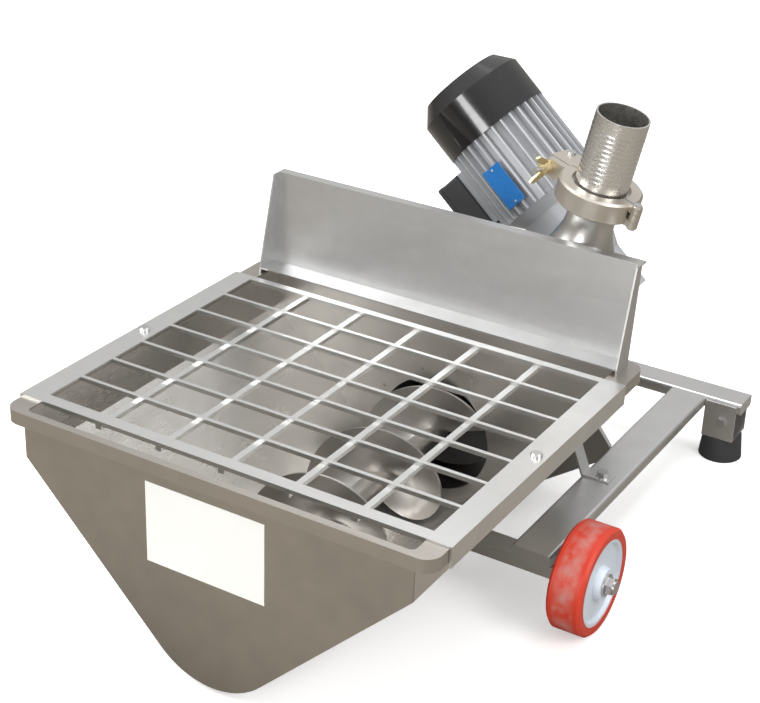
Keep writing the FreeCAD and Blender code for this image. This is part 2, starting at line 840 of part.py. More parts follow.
def fan_cover():
    """Plastic cap over the fan: straight skirt, coned shoulder and a slotted end."""
    wall = fan_cover_wall
    shoulder = stator_end + fan_cover_straight
    end = fan_cover_end
    skirt = turned([
        (fan_cover_radius, stator_end),
        (fan_cover_radius, shoulder),
        (fan_cover_end_radius, end),
        (0, end),
        (0, end - wall),
        (fan_cover_end_radius - wall / 2, end - wall),
        (fan_cover_radius - wall, shoulder),
        (fan_cover_radius - wall, stator_end),
    ])
    inner = turned([
        (stator_radius + seat_gap, stator_end),
        (stator_radius + seat_gap, stator_end + fan_cover_spigot),
        (fan_cover_radius - wall / 2, stator_end + fan_cover_spigot),
        (fan_cover_radius - wall / 2, stator_end),
    ])
    cover = skirt.fuse(inner)
    slot_inner = fan_cover_end_radius * 0.3
    slot_outer = fan_cover_end_radius - 3 * wall
    for k in range(fan_cover_slot_count):
        slot = box(slot_inner, slot_outer, -fan_cover_slot_width / 2, fan_cover_slot_width / 2,
                   end - 2 * wall, end + wall)
        slot.rotate(ORIGIN, Z_AXIS, k * 360 / fan_cover_slot_count)
        cover = cover.cut(slot)
    return on_motor(cover)


def fan():
    start = stator_end + 2 * fan_cover_spigot
    hub = Part.makeCylinder(fan_hub_radius, fan_width, Vector(0, 0, start))
    disc = Part.makeCylinder(fan_radius * 0.8, fan_blade_thickness, Vector(0, 0, start))
    pieces = [hub, disc]
    for k in range(fan_blade_count):
        blade = box(fan_hub_radius - 2, fan_radius, -fan_blade_thickness / 2,
                    fan_blade_thickness / 2, start, start + fan_width)
        blade.rotate(ORIGIN, Z_AXIS, k * 360 / fan_blade_count)
        pieces.append(blade)
    wheel = fuse(pieces)
    bore = Part.makeCylinder(motor_shaft_radius + seat_gap, fan_width, Vector(0, 0, start))
    return on_motor(wheel.cut(bore))


def motor_shaft():
    end = stator_end + 2 * fan_cover_spigot + fan_width
    return on_motor(rod(motor_shaft_radius, Vector(0, 0, motor_shaft_start), Vector(0, 0, end)))


def terminal_box():
    start = stator_start + terminal_box_start
    half = terminal_box_width / 2
    top = -fin_radius - terminal_box_height
    body = box(top, -fin_radius, -half, half, start, start + terminal_box_length)
    return on_motor(body.makeFillet(4, [edge for edge in body.Edges if edge_runs(edge, X_AXIS)]))


def edge_runs(edge, axis):
    ends = edge.Vertexes[1].Point - edge.Vertexes[0].Point
    return abs(abs(ends.normalize().dot(axis)) - 1) < 0.001


def terminal_box_cover():
    start = stator_start + terminal_box_start
    half = terminal_box_width / 2 + 1
    top = -fin_radius - terminal_box_height
    body = box(top - terminal_box_lid, top, -half, half, start - 1,
               start + terminal_box_length + 1)
    body = body.makeFillet(4, [edge for edge in body.Edges if edge_runs(edge, X_AXIS)])
    return on_motor(body)


def cable_gland():
    """Cable gland on the terminal box's lower side: a hexagon and a ribbed nut."""
    x = -fin_radius - terminal_box_height / 2
    start = stator_start + terminal_box_start
    seat = hexagon(gland_radius, gland_length / 3)
    seat.translate(Vector(x, 0, start - gland_length / 3))
    nut = Part.makeCylinder(gland_radius * 0.85, gland_length * 2 / 3,
                            Vector(x, 0, start - gland_length))
    bore = Part.makeCylinder(gland_bore_radius, gland_length, Vector(x, 0, start - gland_length))
    return on_motor(fuse([seat, nut]).cut(bore))


def outlet_gasket():
    ring = Part.makeCylinder(ferrule_radius - 2, gasket_thickness,
                             Vector(0, 0, -gasket_thickness / 2))
    hole = Part.makeCylinder(hose_tail_radius - hose_tail_wall + free_gap, gasket_thickness,
                             Vector(0, 0, -gasket_thickness / 2))
    return on_outlet(ring.cut(hole))


def hose_tail():
    """Ridged spigot for the hose, with the ferrule that the clamp holds."""
    bottom = gasket_thickness / 2
    bore = hose_tail_radius - hose_tail_wall
    profile = [(bore, bottom), (ferrule_radius, bottom),
               (ferrule_radius, bottom + ferrule_thickness),
               (hose_tail_radius, bottom + ferrule_thickness)]
    for k in range(hose_tail_ridge_count):
        z = hose_tail_ridge_start + k * hose_tail_ridge_pitch
        crest = hose_tail_radius + hose_tail_ridge_height
        profile += [(hose_tail_radius, z), (crest, z + 0.5), (hose_tail_radius, z + 3)]
    profile += [(hose_tail_radius, hose_tail_length), (bore, hose_tail_length)]
    return on_outlet(turned(profile))


def clamp_frame(shape):
    """Turns a clamp piece built with its closure along +X and its bolt along +Y."""
    made = shape.copy()
    made.rotate(ORIGIN, Z_AXIS, clamp_closure_angle)
    return on_outlet(made)


def clamp_ring():
    cavity = ferrule_thickness + gasket_thickness / 2 + free_gap
    inner = ferrule_radius + free_gap
    half = clamp_half_height
    edge = clamp_radius - clamp_chamfer
    return turned([
        (clamp_lip_radius, -half), (edge, -half), (clamp_radius, -half + clamp_chamfer),
        (clamp_radius, half - clamp_chamfer), (edge, half), (clamp_lip_radius, half),
        (clamp_lip_radius, cavity), (inner, cavity), (inner, -cavity),
        (clamp_lip_radius, -cavity),
    ])


def half_space(sign):
    reach = 2 * clamp_fork_outer
    near = clamp_split_gap / 2
    y0, y1 = sorted((sign * near, sign * reach))
    return box(-reach, reach, y0, y1, -reach, reach)


def knuckle(z0, z1):
    eye = Part.makeCylinder(clamp_knuckle_radius, z1 - z0, Vector(-clamp_hinge_reach, 0, z0))
    bore = Part.makeCylinder(clamp_pin_radius + running_gap, z1 - z0,
                             Vector(-clamp_hinge_reach, 0, z0))
    return eye, bore


def clamp_front_half():
    """Fixed half: two outer knuckles, and a lug with an open slot for the swing bolt."""
    half = clamp_ring().common(half_space(1))
    lug = box(clamp_lug_inner, swing_bolt_reach + swing_bolt_radius + free_gap,
              clamp_split_gap / 2, clamp_bolt_seat,
              -clamp_lug_half_height, clamp_lug_half_height)
    slot = box(swing_bolt_reach - swing_bolt_radius - 2 * free_gap, clamp_fork_outer,
               0, 2 * clamp_bolt_seat, -clamp_slot_half_height, clamp_slot_half_height)
    room = Part.makeCylinder(ferrule_radius + free_gap, 2 * clamp_half_height,
                             Vector(0, 0, -clamp_half_height))
    half = half.fuse(lug.cut(slot).cut(room))
    low = clamp_knuckle_half_height + swing_gap
    for sign in (1, -1):
        z0, z1 = sorted((sign * low, sign * clamp_half_height))
        eye, bore = knuckle(z0, z1)
        web = box(-clamp_hinge_reach, -ferrule_radius - 2, clamp_split_gap / 2,
                  clamp_knuckle_radius - 1, z0, z1)
        other = box(-clamp_radius - clamp_chamfer, -clamp_lip_radius, -2 * clamp_knuckle_radius,
                    clamp_split_gap / 2, z0, z1)
        half = half.fuse(eye.cut(other)).fuse(web).cut(bore)
    return clamp_frame(half)


def clamp_rear_half():
    """Second half: the middle knuckle, and a fork for the swing bolt's eye."""
    half = clamp_ring().common(half_space(-1))
    fork = box(clamp_lug_inner, clamp_fork_outer, -swing_bolt_end, -clamp_split_gap / 2,
               -clamp_lug_half_height, clamp_lug_half_height)
    slot = box(swing_bolt_reach - swing_bolt_eye_radius - 1, clamp_fork_outer + 1,
               -swing_bolt_end - 1, 0, -clamp_slot_half_height, clamp_slot_half_height)
    room = Part.makeCylinder(ferrule_radius + free_gap, 2 * clamp_half_height,
                             Vector(0, 0, -clamp_half_height))
    pin_hole = Part.makeCylinder(clamp_pin_radius + seat_gap, 2 * clamp_half_height,
                                 Vector(swing_bolt_reach, -swing_bolt_pivot, -clamp_half_height))
    half = half.fuse(fork.cut(slot).cut(room)).cut(pin_hole)
    eye, bore = knuckle(-clamp_knuckle_half_height, clamp_knuckle_half_height)
    web = box(-clamp_hinge_reach, -ferrule_radius - 2, -clamp_knuckle_radius + 1,
              -clamp_split_gap / 2, -clamp_knuckle_half_height, clamp_knuckle_half_height)
    other = box(-clamp_radius - clamp_chamfer, -clamp_lip_radius, -clamp_split_gap / 2,
                2 * clamp_knuckle_radius, -clamp_knuckle_half_height, clamp_knuckle_half_height)
    room_front = half_space(1).common(clamp_ring_hull())
    half = half.fuse(eye.cut(other).cut(room_front)).fuse(web).cut(bore)
    return clamp_frame(half)


def clamp_ring_hull():
    return Part.makeCylinder(clamp_radius + free_gap, 2 * clamp_half_height,
                             Vector(0, 0, -clamp_half_height))


def headed_pin(x, y, half_length):
    pin = Part.makeCylinder(clamp_pin_radius, 2 * half_length, Vector(x, y, -half_length))
    heads = [
        Part.makeCylinder(clamp_pin_head_radius, clamp_pin_head_height, Vector(x, y, half_length)),
        Part.makeCylinder(clamp_pin_head_radius, clamp_pin_head_height,
                          Vector(x, y, -half_length - clamp_pin_head_height)),
    ]
    return clamp_frame(fuse([pin] + heads))


def clamp_hinge_pin():
    return headed_pin(-clamp_hinge_reach, 0, clamp_half_height)


def swing_bolt_pin():
    return headed_pin(swing_bolt_reach, -swing_bolt_pivot, clamp_lug_half_height)


def swing_bolt():
    eye = Part.makeCylinder(swing_bolt_eye_radius, 2 * swing_bolt_eye_half_height,
                            Vector(swing_bolt_reach, -swing_bolt_pivot,
                                   -swing_bolt_eye_half_height))
    stem = rod(swing_bolt_radius, Vector(swing_bolt_reach, -swing_bolt_pivot, 0),
               Vector(swing_bolt_reach, swing_bolt_end, 0))
    hole = Part.makeCylinder(clamp_pin_radius + running_gap, 2 * clamp_half_height,
                             Vector(swing_bolt_reach, -swing_bolt_pivot, -clamp_half_height))
    return clamp_frame(fuse([eye, stem]).cut(hole))


def wing_nut():
    """Hub with two wings that flare away from the seat."""
    seat = clamp_bolt_seat + swing_gap
    hub = rod(wing_nut_hub_radius, Vector(0, seat, 0), Vector(0, seat + wing_nut_hub_length, 0))
    thick = wing_nut_wing_thickness / 2
    hub_end = seat + wing_nut_hub_length
    tip = hub_end + wing_nut_wing_length
    wing = face_of([
        Vector(-thick, seat + 3, wing_nut_hub_radius - 3),
        Vector(-thick, hub_end - 1, swing_bolt_radius + 1),
        Vector(-thick, tip - 5, wing_nut_span - 8),
        Vector(-thick, tip, wing_nut_span - 2),
        Vector(-thick, tip - 8, wing_nut_span),
        Vector(-thick, seat + 5, wing_nut_hub_radius + 3),
    ]).extrude(Vector(2 * thick, 0, 0))
    nut = fuse([hub, wing, wing.mirror(ORIGIN, Z_AXIS)])
    bore = rod(swing_bolt_radius + running_gap, Vector(0, 0, 0), Vector(0, 3 * tip, 0))
    nut = nut.cut(bore)
    nut.translate(Vector(swing_bolt_reach, 0, 0))
    return clamp_frame(nut)


def tube(width, height, length):
    """Rectangular tube along +Z, width along X and height along Y, centred."""
    def section(inset):
        block = box(-width / 2 + inset, width / 2 - inset, -height / 2 + inset,
                    height / 2 - inset, 0, length)
        corners = [edge for edge in block.Edges if edge_runs(edge, Z_AXIS)]
        return block.makeFillet(tube_corner - inset, corners)
    return section(0).cut(section(tube_wall))


def cap(width, height):
    inset = tube_wall + seat_gap
    plug = box(-width / 2 + inset, width / 2 - inset, -height / 2 + inset,
               height / 2 - inset, 0, cap_thickness)
    corners = [edge for edge in plug.Edges if edge_runs(edge, Z_AXIS)]
    return plug.makeFillet(tube_corner - tube_wall, corners)


def side_rail():
    length = rear_bar_front_y - rail_front_y
    made = tube(rail_width, rail_height, length)
    made.rotate(ORIGIN, X_AXIS, -90)
    middle_z = rail_top_z - rail_height / 2
    made.translate(Vector(rail_inner_x + rail_width / 2, rail_front_y, middle_z))
    hole = Part.makeCylinder(strap_bolt_radius + bolt_hole_gap, 2 * tube_wall,
                             Vector(rail_inner_x + rail_width / 2, strap_y,
                                    rail_top_z - 1.5 * tube_wall))
    return made.cut(hole)


def rear_bar():
    made = tube(rear_bar_width, rail_height, 2 * rear_bar_half_length)
    made.rotate(ORIGIN, Z_AXIS, 90)
    made.rotate(ORIGIN, Y_AXIS, 90)
    made.translate(Vector(-rear_bar_half_length, rear_bar_middle_y,
                          rail_top_z - rail_height / 2))
    return made


def frame_end_caps():
    middle_z = rail_top_z - rail_height / 2
    rail_cap = cap(rail_width, rail_height)
    rail_cap.rotate(ORIGIN, X_AXIS, -90)
    rail_cap.translate(Vector(rail_inner_x + rail_width / 2, rail_front_y, middle_z))
    bar_cap = cap(rear_bar_width, rail_height)
    bar_cap.rotate(ORIGIN, Z_AXIS, 90)
    bar_cap.rotate(ORIGIN, Y_AXIS, 90)
    bar_cap.translate(Vector(rear_bar_half_length - cap_thickness, rear_bar_middle_y, middle_z))
    return Part.makeCompound([rail_cap, bar_cap, mirrored(rail_cap), mirrored(bar_cap)])


def cross_bar():
    """Stub from the trough's sloping wall, under the rail, to the wheel's axle."""
    slope_offset = trough_radius * math.sqrt(2) - auger_axis_z
    low_z = rail_bottom_z - cross_bar_height
    front_y = wheel_y - cross_bar_width / 2
    return face_of([
        Vector(low_z + slope_offset, front_y, low_z),
        Vector(rail_bottom_z + slope_offset, front_y, rail_bottom_z),
        Vector(cross_bar_outer_x, front_y, rail_bottom_z),
        Vector(cross_bar_outer_x, front_y, low_z),
    ]).extrude(Vector(0, cross_bar_width, 0))


def strap():
    """Flat strap bolted on the rail and leaning forward to the hopper's sloping wall."""
    x0 = rail_inner_x + 1
    x1 = x0 + strap_sheet
    y0 = strap_y - strap_width / 2
    y1 = strap_y + strap_width / 2
    slope_offset = trough_radius * math.sqrt(2) - auger_axis_z
    height = x1 - slope_offset + strap_sheet - rail_top_z
    shift = strap_lean * 1.1
    leg = face_of([
        Vector(x0, y0, rail_top_z),
        Vector(x0, y1, rail_top_z),
        Vector(x0, y1 - shift, rail_top_z + height * 1.1),
        Vector(x0, y0 - shift, rail_top_z + height * 1.1),
    ]).extrude(Vector(strap_sheet, 0, 0))
    leg = leg.cut(trough_block(0, wall_top_z, hopper_front_y, hopper_rear_y))
    foot = box(x0, x0 + strap_foot_length, y0, y1, rail_top_z, rail_top_z + strap_sheet)
    hole = Part.makeCylinder(strap_bolt_radius + bolt_hole_gap, 3 * strap_sheet,
                             Vector(rail_inner_x + rail_width / 2, strap_y,
                                    rail_top_z - strap_sheet))
    return fuse([leg, foot]).cut(hole)


def strap_bolt():
    place = Vector(rail_inner_x + rail_width / 2, strap_y, rail_top_z + strap_sheet)
    washer = Part.makeCylinder(strap_bolt_head_radius + 1.5, tube_wall, place)
    head = hexagon(strap_bolt_head_radius, strap_bolt_head_height)
    head.translate(place + Vector(0, 0, tube_wall))
    shank = Part.makeCylinder(strap_bolt_radius, strap_sheet + rail_height / 2,
                              place - Vector(0, 0, strap_sheet + rail_height / 2))
    return fuse([washer, head, shank])


def axle_piece(shape, x):
    return facing(shape, X_AXIS, Vector(x, wheel_y, wheel_radius))


def axle():
    """Axle pin with its inner collar, on the end of the cross bar."""
    end = wheel_middle_x + hub_half_width + axle_washer_thickness + axle_nut_height + free_gap
    pin = Part.makeCylinder(axle_radius, end + 3 - cross_bar_outer_x)
    collar_length = wheel_middle_x - hub_half_width - swing_gap - cross_bar_outer_x
    collar = Part.makeCylinder(axle_collar_radius, collar_length)
    return axle_piece(fuse([pin, collar]), cross_bar_outer_x)


def axle_nut():
    washer = Part.makeCylinder(axle_washer_radius, axle_washer_thickness)
    nut = hexagon(axle_nut_radius, axle_nut_height)
    nut.translate(Vector(0, 0, axle_washer_thickness))
    bore = Part.makeCylinder(axle_radius + seat_gap, axle_nut_height + axle_washer_thickness)
    made = fuse([washer, nut]).cut(bore)
    return axle_piece(made, wheel_middle_x + hub_half_width + swing_gap)


def wheel_core():
    """Nylon wheel centre: hub, dished web and the seat of the tyre."""
    rim = wheel_radius - tyre_thickness
    half = wheel_width / 2 - 1
    web = half - wheel_web_recess
    core = turned([
        (axle_radius + running_gap, -hub_half_width), (wheel_hub_radius, -hub_half_width),
        (wheel_hub_radius + 3, -web), (rim - 8, -web), (rim - 5, -half), (rim, -half),
        (rim, half), (rim - 5, half), (rim - 8, web), (wheel_hub_radius + 3, web),
        (wheel_hub_radius, hub_half_width), (axle_radius + running_gap, hub_half_width),
    ])
    return axle_piece(core, wheel_middle_x)


def wheel_tyre():
    rim = wheel_radius - tyre_thickness + seat_gap
    half = wheel_width / 2
    tyre = turned([(rim, -half), (wheel_radius - tyre_edge, -half),
                   (wheel_radius, -half + tyre_edge), (wheel_radius, half - tyre_edge),
                   (wheel_radius - tyre_edge, half), (rim, half)])
    return axle_piece(tyre, wheel_middle_x)


def foot_rubber():
    return Part.makeCone(foot_radius, foot_top_radius, foot_height,
                         Vector(foot_x, rear_bar_middle_y, 0))


def foot_bracket():
    """Base plate over the rubber, hung from the rear bar by a front and a rear cheek."""
    plate_top = foot_height + foot_plate_thickness
    front_y = rear_bar_front_y - foot_bracket_thickness
    rear_y = rear_bar_front_y + rear_bar_width + foot_bracket_thickness
    base = box(foot_x - foot_plate_half, foot_x + foot_plate_half, front_y, rear_y,
               foot_height, plate_top)
    cheek = face_of([
        Vector(foot_x - foot_plate_half, front_y, foot_height),
        Vector(foot_x + foot_plate_half, front_y, foot_height),
        Vector(foot_x + foot_plate_half, front_y, rail_top_z - tube_corner),
        Vector(foot_x - foot_plate_half, front_y, rail_top_z - tube_corner),
    ]).extrude(Vector(0, foot_bracket_thickness, 0))
    rear_cheek = cheek.copy()
    rear_cheek.translate(Vector(0, rear_bar_width + foot_bracket_thickness, 0))
    bracket = fuse([base, cheek, rear_cheek])
    start = Vector(foot_x + 5, front_y - 1, foot_bolt_z)
    bolt_run = Vector(0, rear_y - front_y + 2, 0)
    return bracket.cut(rod(foot_bolt_radius + bolt_hole_gap, start, start + bolt_run))


def foot_bolt():
    front_y = rear_bar_front_y - foot_bracket_thickness
    rear_y = rear_bar_front_y + rear_bar_width + foot_bracket_thickness
    place = Vector(foot_x + 5, front_y, foot_bolt_z)
    head = facing(hexagon(foot_bolt_head_radius, foot_bolt_head_height), Vector(0, -1, 0), place)
    shank = rod(foot_bolt_radius, place, Vector(foot_x + 5, rear_y, foot_bolt_z))
    nut = facing(hexagon(foot_bolt_head_radius, foot_bolt_head_height), Y_AXIS,
                 Vector(foot_x + 5, rear_y, foot_bolt_z))
    return fuse([head, shank, nut])


def build():
    os.makedirs("parts", exist_ok=True)
    single = {
        "hopper_trough": hopper_trough, "hopper_front_plate": hopper_front_plate,
        "hopper_rear_plate": hopper_rear_plate, "hopper_rim": hopper_rim,
        "grate_frame": grate_frame, "grate_long_bars": grate_long_bars,
        "grate_cross_bars": grate_cross_bars, "grate_screws": grate_screws,
        "splash_panel": splash_panel, "auger": auger, "pump_rotor": pump_rotor,
        "pump_casing": pump_casing,
        "outlet_trunk": outlet_trunk, "casing_bolts": casing_bolts, "bulkhead": bulkhead,
        "shaft_seal": shaft_seal, "shaft_bearing": shaft_bearing, "gear_case": gear_case,
        "worm_gearbox": worm_gearbox, "gearbox_cover": gearbox_cover,
        "motor_end_shield": motor_end_shield, "motor_flange_bolts": motor_flange_bolts,
        "stator_housing": stator_housing, "fan_cover": fan_cover, "fan": fan,
        "motor_shaft": motor_shaft, "terminal_box": terminal_box,
        "terminal_box_cover": terminal_box_cover, "cable_gland": cable_gland,
        "outlet_gasket": outlet_gasket, "hose_tail": hose_tail,
        "clamp_front_half": clamp_front_half, "clamp_rear_half": clamp_rear_half,
        "clamp_hinge_pin": clamp_hinge_pin, "swing_bolt_pin": swing_bolt_pin,
        "swing_bolt": swing_bolt, "wing_nut": wing_nut, "rear_bar": rear_bar,
        "frame_end_caps": frame_end_caps,
    }
    for name, make in single.items():
        save(name, make())
    sided = {
        "side_rail": side_rail, "cross_bar": cross_bar, "strap": strap, "axle": axle,
        "wheel_core": wheel_core, "wheel_tyre": wheel_tyre,
    }
    for name, make in sided.items():
        right = make()
        save(name + "_right", right)
        save(name + "_left", mirrored(right))
    paired = {
        "strap_bolts": strap_bolt, "axle_nuts": axle_nut, "foot_rubbers": foot_rubber,
        "foot_brackets": foot_bracket, "foot_bolts": foot_bolt,
    }
    for name, make in paired.items():
        save(name, both_sides(make()))


build()
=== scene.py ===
import json

import bpy
from mathutils import Matrix, Vector


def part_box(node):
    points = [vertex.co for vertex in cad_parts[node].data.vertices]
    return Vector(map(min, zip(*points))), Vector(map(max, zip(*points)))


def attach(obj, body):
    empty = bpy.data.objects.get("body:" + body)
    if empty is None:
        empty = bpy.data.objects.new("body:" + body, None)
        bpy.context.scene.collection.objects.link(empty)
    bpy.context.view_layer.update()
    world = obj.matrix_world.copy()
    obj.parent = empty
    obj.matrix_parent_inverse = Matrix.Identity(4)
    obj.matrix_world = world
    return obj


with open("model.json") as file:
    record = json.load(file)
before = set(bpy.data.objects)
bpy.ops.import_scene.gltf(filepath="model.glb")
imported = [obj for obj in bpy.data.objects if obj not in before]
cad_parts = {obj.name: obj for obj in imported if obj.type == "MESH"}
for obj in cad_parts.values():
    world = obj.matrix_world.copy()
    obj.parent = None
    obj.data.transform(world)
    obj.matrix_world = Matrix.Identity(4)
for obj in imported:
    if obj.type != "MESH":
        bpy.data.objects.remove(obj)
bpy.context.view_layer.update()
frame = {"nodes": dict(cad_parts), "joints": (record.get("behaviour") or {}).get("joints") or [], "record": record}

# A wine pump on a plain white floor under soft studio light. Metres, in the frame of the CAD.

# Camera, as the photograph was taken
CAMERA_PLACE = Vector((1.0658, -1.9081, 1.3823))
CAMERA_RIGHT = Vector((0.8525, 0.5216, 0.0333))
CAMERA_FORWARD = Vector((-0.4536, 0.7700, -0.4488))
CAMERA_LENS = 80.53
CAMERA_SENSOR = 36.0

# Plain label on the front plate, as left, right, bottom and top edges
LABEL_EDGES = (-0.095, 0.085, 0.169, 0.286)
LABEL_THICKNESS = 0.0005

# Plain rating plate on the motor
PLATE_LENGTH = 0.068
PLATE_WIDTH = 0.036
PLATE_THICKNESS = 0.0008
PLATE_ALONG = 0.031
FIN_RADIUS = 0.086
RIVET_SIZE = (0.004, 0.004, 0.0012)
RIVET_FROM_END = 0.005
RIVET_EDGE = 0.0005

# Weld beads
WELD_RADIUS = 0.0017

# Fine texture of every surface
TEXTURE_DEPTH = 0.0004

# Steel: its grain, and broad patches with smears over them
GRAIN_SCALE = 420.0
PATCH_SCALE = 5.0
PATCH_SHARE = 0.6
SMEAR_SCALE = 28.0
SMEAR_SHARE = 0.4
SMEAR_TONES = (0.32, 0.68)
SMEAR_SHEEN = 0.08

# Paint, plastic and rubber: their texture, and the wear over it
ENAMEL_SCALE = 140.0
ENAMEL_SHEEN = 0.12
WEAR_SCALE = 7.0
WEAR_TONES = (0.35, 0.65)
WEAR_SHEEN = 0.06

# Scuffed band of the tyres: its depths at the tread, and where it fades, as half width squared
SCUFF_SCALE = 60.0
SCUFF_TONES = (0.35, 0.75)
SCUFF_SHEEN = 0.15
SCUFF_BUMP = 0.1
TYRE_ROUGHNESS = 0.34
TREAD_DEPTHS = (0.0012, 0.0004)
BAND_FADE = (0.00012, 0.00030)
BAND_STRENGTH = 0.6

# Floor and studio
WHITE = (1.0, 1.0, 1.0)
FLOOR_SIZE = 14.0
FLOOR_PAINT = (0.90, 0.90, 0.90)
FLOOR_GLOW = 0.35
FLOOR_IN_STEEL = (0.26, 0.24, 0.21)
ROOM_WALL = (0.30, 0.285, 0.26)
ROOM_CEILING = (1.0, 1.0, 1.0)
ROOM_LEVELS = (-0.05, 0.85)
ROOM_STRENGTH = 0.9
LIGHT_TARGET = (0.0, 0.0, 0.3)
LOW_TARGET = (0.0, -0.3, 0.3)
SOFTBOXES = {
    # name: place, target, size, power in watts
    "softbox_left": ((-2.2, -1.6, 2.4), LIGHT_TARGET, (1.8, 1.8), 70.0),
    "softbox_front": ((0.3, -3.4, 1.1), LOW_TARGET, (1.2, 1.2), 55.0),
    "softbox_right": ((2.4, -0.6, 1.8), LIGHT_TARGET, (1.2, 1.6), 30.0),
    "softbox_top": ((0.0, 0.6, 3.0), LIGHT_TARGET, (2.5, 2.0), 60.0),
}


class Value:
    """A value in a material's node graph, which takes part in arithmetic."""

    def __init__(self, graph, socket):
        self.graph = graph
        self.socket = socket

    def math(self, operation, first, second):
        return self.graph.node("Math", {0: first, 1: second}, operation=operation)

    def __add__(self, other):
        return self.math("ADD", self, other)

    def __radd__(self, other):
        return self.math("ADD", other, self)

    def __sub__(self, other):
        return self.math("SUBTRACT", self, other)

    def __rsub__(self, other):
        return self.math("SUBTRACT", other, self)

    def __mul__(self, other):
        return self.math("MULTIPLY", self, other)

    def __rmul__(self, other):
        return self.math("MULTIPLY", other, self)

    def root(self):
        return self.graph.node("Math", {0: self}, operation="SQRT")

    def clipped(self):
        return self.graph.node("Clamp", {0: self})


class Graph:
    """A material's nodes, with each node made and wired by one call."""

    def __init__(self, tree):
        self.tree = tree
        tree.nodes.clear()

    def node(self, kind, inputs=None, output=0, **settings):
        made = self.tree.nodes.new("ShaderNode" + kind)
        for name, setting in settings.items():
            setattr(made, name, setting)
        for name, value in (inputs or {}).items():
            self.wire(made.inputs[name], value)
        return Value(self, made.outputs[output])

    def wire(self, socket, value):
        if isinstance(value, Value):
            self.tree.links.new(value.socket, socket)
        elif socket.type == "RGBA":
            socket.default_value = (*value, 1.0)
        else:
            socket.default_value = value

    def noise(self, scale, detail=2.0, stretch=(1.0, 1.0, 1.0)):
        place = self.node("TexCoord", output="Object")
        if stretch != (1.0, 1.0, 1.0):
            place = self.node("Mapping", {"Vector": place, "Scale": stretch})
        return self.node("TexNoise", {"Vector": place, "Scale": scale, "Detail": detail})

    def blend(self, share, first, second):
        return self.node("Mix", {0: share, 6: first, 7: second}, output=2, data_type="RGBA")

    def steps(self, value, low, high):
        """From 0 at low to 1 at high."""
        return self.node("MapRange", {0: value, 1: low, 2: high, 3: 0.0, 4: 1.0})

    def end(self, kind, shader):
        """Output node, fed by a shader."""
        out = self.tree.nodes.new("ShaderNode" + kind)
        self.tree.links.new(shader.socket, out.inputs["Surface"])

    def finish(self, **inputs):
        """Surface with named inputs, underscores standing for spaces."""
        named = {name.replace("_", " "): value for name, value in inputs.items()}
        self.end("OutputMaterial", self.node("BsdfPrincipled", named))


def material(name):
    made = bpy.data.materials.new(name)
    made.use_nodes = True
    return made, Graph(made.node_tree)


def shade(colour, factor):
    return tuple(channel * factor for channel in colour)


def brushed(name, colour, roughness, stretch=(1.0, 1.0, 1.0), grain=0.10, dirt=0.12, bump=0.08):
    """Brushed or satin stainless: fine grain along one way, with broad changes of sheen."""
    made, graph = material(name)
    lines = graph.noise(GRAIN_SCALE, 3.0, stretch)
    broad = graph.noise(PATCH_SCALE, 3.0)
    smear = graph.noise(SMEAR_SCALE, 4.0)
    tone = graph.steps(broad * PATCH_SHARE + smear * SMEAR_SHARE, *SMEAR_TONES)
    tint = graph.blend(tone, shade(colour, 1.0 - dirt), shade(colour, 1.0 + dirt / 2))
    sheen = (lines - 0.5) * grain + (1.0 - tone) * SMEAR_SHEEN + roughness
    normal = graph.node("Bump", {"Height": lines, "Strength": bump, "Distance": TEXTURE_DEPTH})
    graph.finish(Base_Color=tint, Metallic=1.0, Roughness=sheen.clipped(), Normal=normal)
    return made


def painted(name, colour, roughness, speckle=0.08, coat=0.0, bump=0.10):
    """Enamel, moulded plastic or rubber, with a fine texture and slight wear."""
    made, graph = material(name)
    fine = graph.noise(ENAMEL_SCALE, 3.0)
    broad = graph.noise(WEAR_SCALE, 3.0)
    tone = graph.steps(broad, *WEAR_TONES)
    tint = graph.blend(tone, shade(colour, 1.0 - speckle), shade(colour, 1.0 + speckle))
    sheen = (fine - 0.5) * ENAMEL_SHEEN + (tone - 0.5) * WEAR_SHEEN + roughness
    normal = graph.node("Bump", {"Height": fine, "Strength": bump, "Distance": TEXTURE_DEPTH})
    graph.finish(Base_Color=tint, Roughness=sheen.clipped(), Coat_Weight=coat, Normal=normal)
    return made


def tyre_material(name, colour, band_colour, side):
    """Red polyurethane, scuffed grey where it rolls."""
    made, graph = material(name)
    low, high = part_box("wheel_tyre_" + side)
    middle = (low + high) / 2
    radius = (high.z - low.z) / 2
    place = graph.node("TexCoord", output="Object")
    split = {"Vector": place}
    across = graph.node("SeparateXYZ", split, output="X") - middle.x
    along = graph.node("SeparateXYZ", split, output="Y") - middle.y
    height = graph.node("SeparateXYZ", split, output="Z") - middle.z
    reach = (along * along + height * height).root()
    tread = graph.steps(reach, radius - TREAD_DEPTHS[0], radius - TREAD_DEPTHS[1])
    scuff = graph.noise(SCUFF_SCALE, 4.0)
    inside = 1.0 - graph.steps(across * across, *BAND_FADE)
    share = tread * inside * graph.steps(scuff, *SCUFF_TONES)
    tint = graph.blend(share * BAND_STRENGTH, colour, band_colour)
    sheen = scuff * SCUFF_SHEEN + TYRE_ROUGHNESS
    bump = {"Height": scuff, "Strength": SCUFF_BUMP, "Distance": TEXTURE_DEPTH}
    graph.finish(Base_Color=tint, Roughness=sheen, Normal=graph.node("Bump", bump))
    return made


# Stretch of the noise, so that the grain runs along X or Y
ALONG_X = (0.02, 1.0, 1.0)
ALONG_Y = (1.0, 0.02, 1.0)

